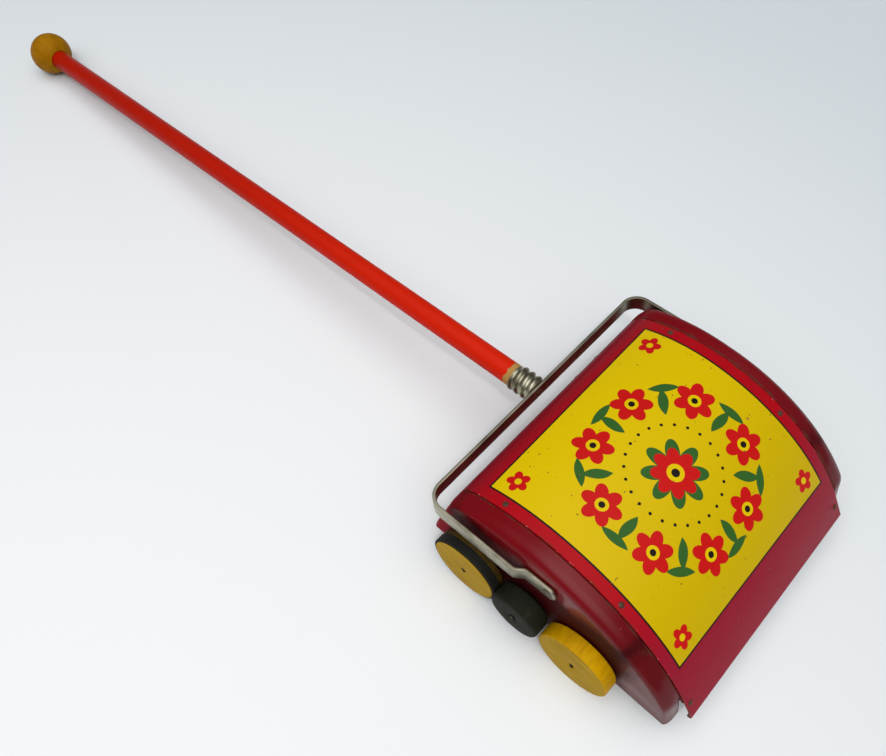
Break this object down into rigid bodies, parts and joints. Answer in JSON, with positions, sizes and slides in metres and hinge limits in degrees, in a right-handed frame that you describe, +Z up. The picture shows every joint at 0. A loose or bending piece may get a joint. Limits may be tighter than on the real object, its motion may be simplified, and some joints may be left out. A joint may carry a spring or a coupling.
{
  "type": "toy carpet sweeper",
  "caption": "Toy carpet sweeper: a domed tin body on wooden wheels, a brush roller driven by friction that also turns a pinned drum, and a swinging strap bail with a long dowel handle.",
  "frame": {"origin": "on the floor, at the centre of the bottom of the whole part's box, with the handle's ball on the floor", "axes": "+Y runs from the body's front lip back along the handle to its ball, +X to the right for someone holding the handle, +Z up"},
  "size_m": [0.1818, 0.632, 0.073],
  "materials": {
    "red_tin": "printed gloss enamel",
    "maroon_tin": "gloss enamel",
    "tray_steel": "bare sheet",
    "dark_steel": "dull",
    "bright_steel": "plated, worn",
    "yellow_wood": "yellow stain and varnish",
    "red_wood": "red gloss paint",
    "black_wood": "black paint",
    "bare_wood": "bare",
    "tyre_rubber": "matt",
    "brass": "machined",
    "bristle": "dark bristle"
  },
  "bodies": {
    "sweeper_body": {"top_cover": "red_tin", "left_end_cap": "maroon_tin", "right_end_cap": "maroon_tin", "front_dust_tray": "tray_steel", "rear_dust_tray": "tray_steel", "left_rear_rivet": "dark_steel", "left_front_rivet": "dark_steel", "left_lip_rivet": "dark_steel", "right_rear_rivet": "dark_steel", "right_front_rivet": "dark_steel", "right_lip_rivet": "dark_steel", "drum_bracket": "bright_steel", "bracket_rivet_1": "dark_steel", "bracket_rivet_2": "dark_steel", "comb_rail": "bright_steel", "tone_comb": "bright_steel", "comb_screw_1": "dark_steel", "comb_screw_2": "dark_steel"},
    "front_wheels": {"front_axle": "bright_steel", "front_left_wheel": "yellow_wood", "front_right_wheel": "yellow_wood"},
    "rear_wheels": {"rear_axle": "bright_steel", "rear_left_wheel": "yellow_wood", "rear_right_wheel": "yellow_wood", "rear_left_tyre": "tyre_rubber", "rear_right_tyre": "tyre_rubber"},
    "brush_roller": {"brush_shaft": "bright_steel", "left_friction_roller": "black_wood", "right_friction_roller": "black_wood", "brush_core": "bare_wood", "bristle_strip_1": "bristle", "bristle_strip_2": "bristle", "bristle_strip_3": "bristle", "bristle_strip_4": "bristle", "drive_pinion": "brass"},
    "drum": {"drum_shaft": "bright_steel", "pinned_drum": "brass", "drum_gear": "brass"},
    "bail_and_handle": {"bail_strap": "bright_steel", "left_pivot_pin": "bright_steel", "right_pivot_pin": "bright_steel", "socket_spring": "bright_steel", "socket_screw": "dark_steel", "handle_rod": "red_wood", "handle_ball": "yellow_wood"}
  },
  "joints": [
    {"name": "front_axle_spin", "type": "hinge", "parent": "sweeper_body", "child": "front_wheels", "pos_m": [0, -0.2614, 0.0198], "axis": [1, 0, 0], "continuous": true},
    {"name": "rear_axle_spin", "type": "hinge", "parent": "sweeper_body", "child": "rear_wheels", "pos_m": [0, -0.1934, 0.0198], "axis": [1, 0, 0], "continuous": true},
    {"name": "brush_spin", "type": "hinge", "parent": "sweeper_body", "child": "brush_roller", "pos_m": [0, -0.2271, 0.0242], "axis": [1, 0, 0], "continuous": true},
    {"name": "drum_spin", "type": "hinge", "parent": "sweeper_body", "child": "drum", "pos_m": [0, -0.20584, 0.04334], "axis": [1, 0, 0], "continuous": true},
    {"name": "bail_pivot", "type": "hinge", "parent": "sweeper_body", "child": "bail_and_handle", "pos_m": [0, -0.2359, 0.058], "axis": [1, 0, 0], "range_deg": [0, 189]}
  ],
  "couplings": [
    {"joint": "brush_spin", "follows": "rear_axle_spin", "ratio": -1.4259},
    {"joint": "drum_spin", "follows": "rear_axle_spin", "ratio": 0.35647}
  ]
}
